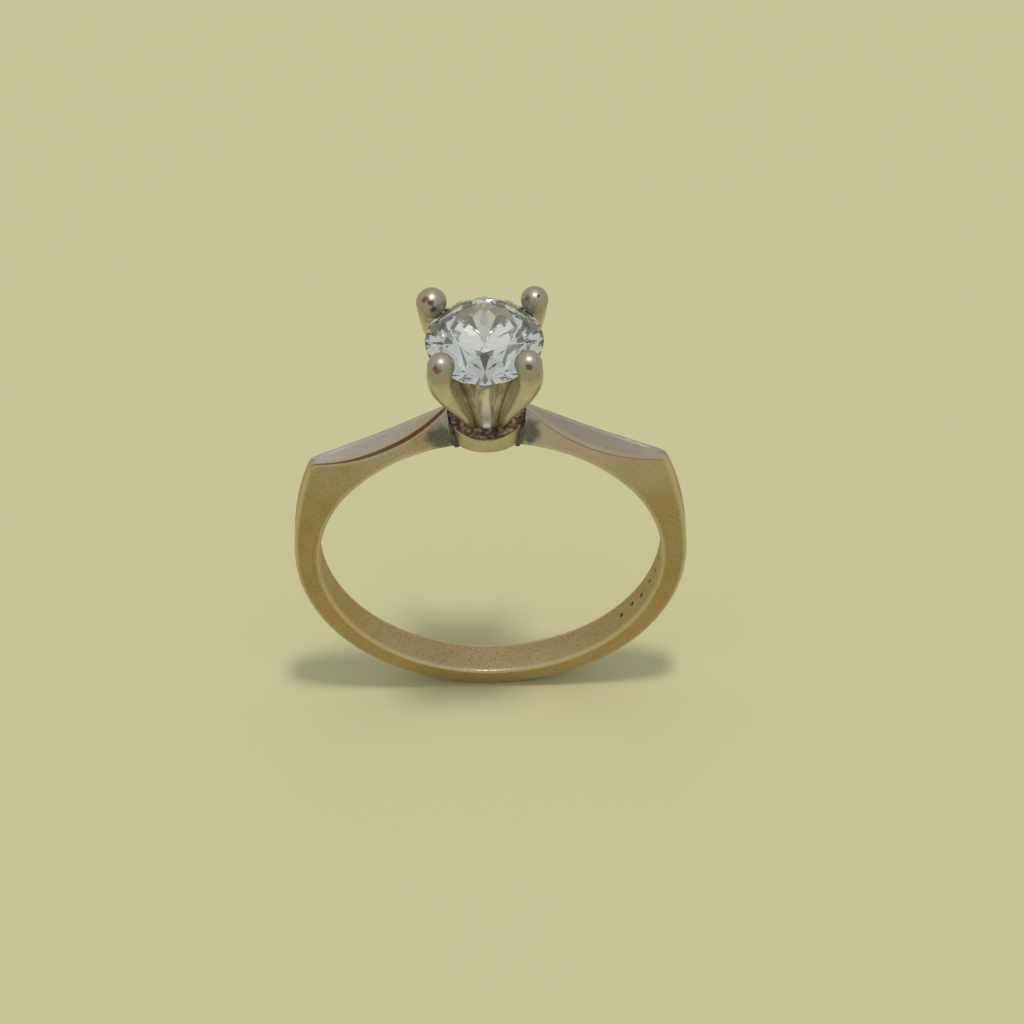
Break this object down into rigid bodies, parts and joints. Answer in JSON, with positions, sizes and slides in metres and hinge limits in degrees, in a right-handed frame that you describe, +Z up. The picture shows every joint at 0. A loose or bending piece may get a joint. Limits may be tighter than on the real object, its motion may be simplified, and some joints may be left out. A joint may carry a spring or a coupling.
{
  "type": "engagement ring",
  "caption": "Solitaire finger ring with hollow-swept shoulders, a collar and a clawed tulip head that holds one round brilliant stone.",
  "frame": {"origin": "centre of the finger bore, half way along its width", "axes": "+Z up through the middle of the stone, +Y along the finger, +X across the shoulders"},
  "size_m": [0.0194, 0.006, 0.0251],
  "materials": {
    "ring_gold": "worn, finely pitted pale gold",
    "head_gold": "polished white gold with light wear",
    "solder": "dark, oxidised solder",
    "stone": "polished, faceted, clear"
  },
  "bodies": {
    "root": {"shank": "ring_gold", "collar": "ring_gold", "head_peg": "ring_gold", "head_cup": "head_gold", "claw_front_left": "head_gold", "claw_front_right": "head_gold", "claw_rear_left": "head_gold", "claw_rear_right": "head_gold", "solder_ring": "solder", "solder_seam_left": "solder", "solder_seam_right": "solder", "stone": "stone"}
  },
  "joints": []
}
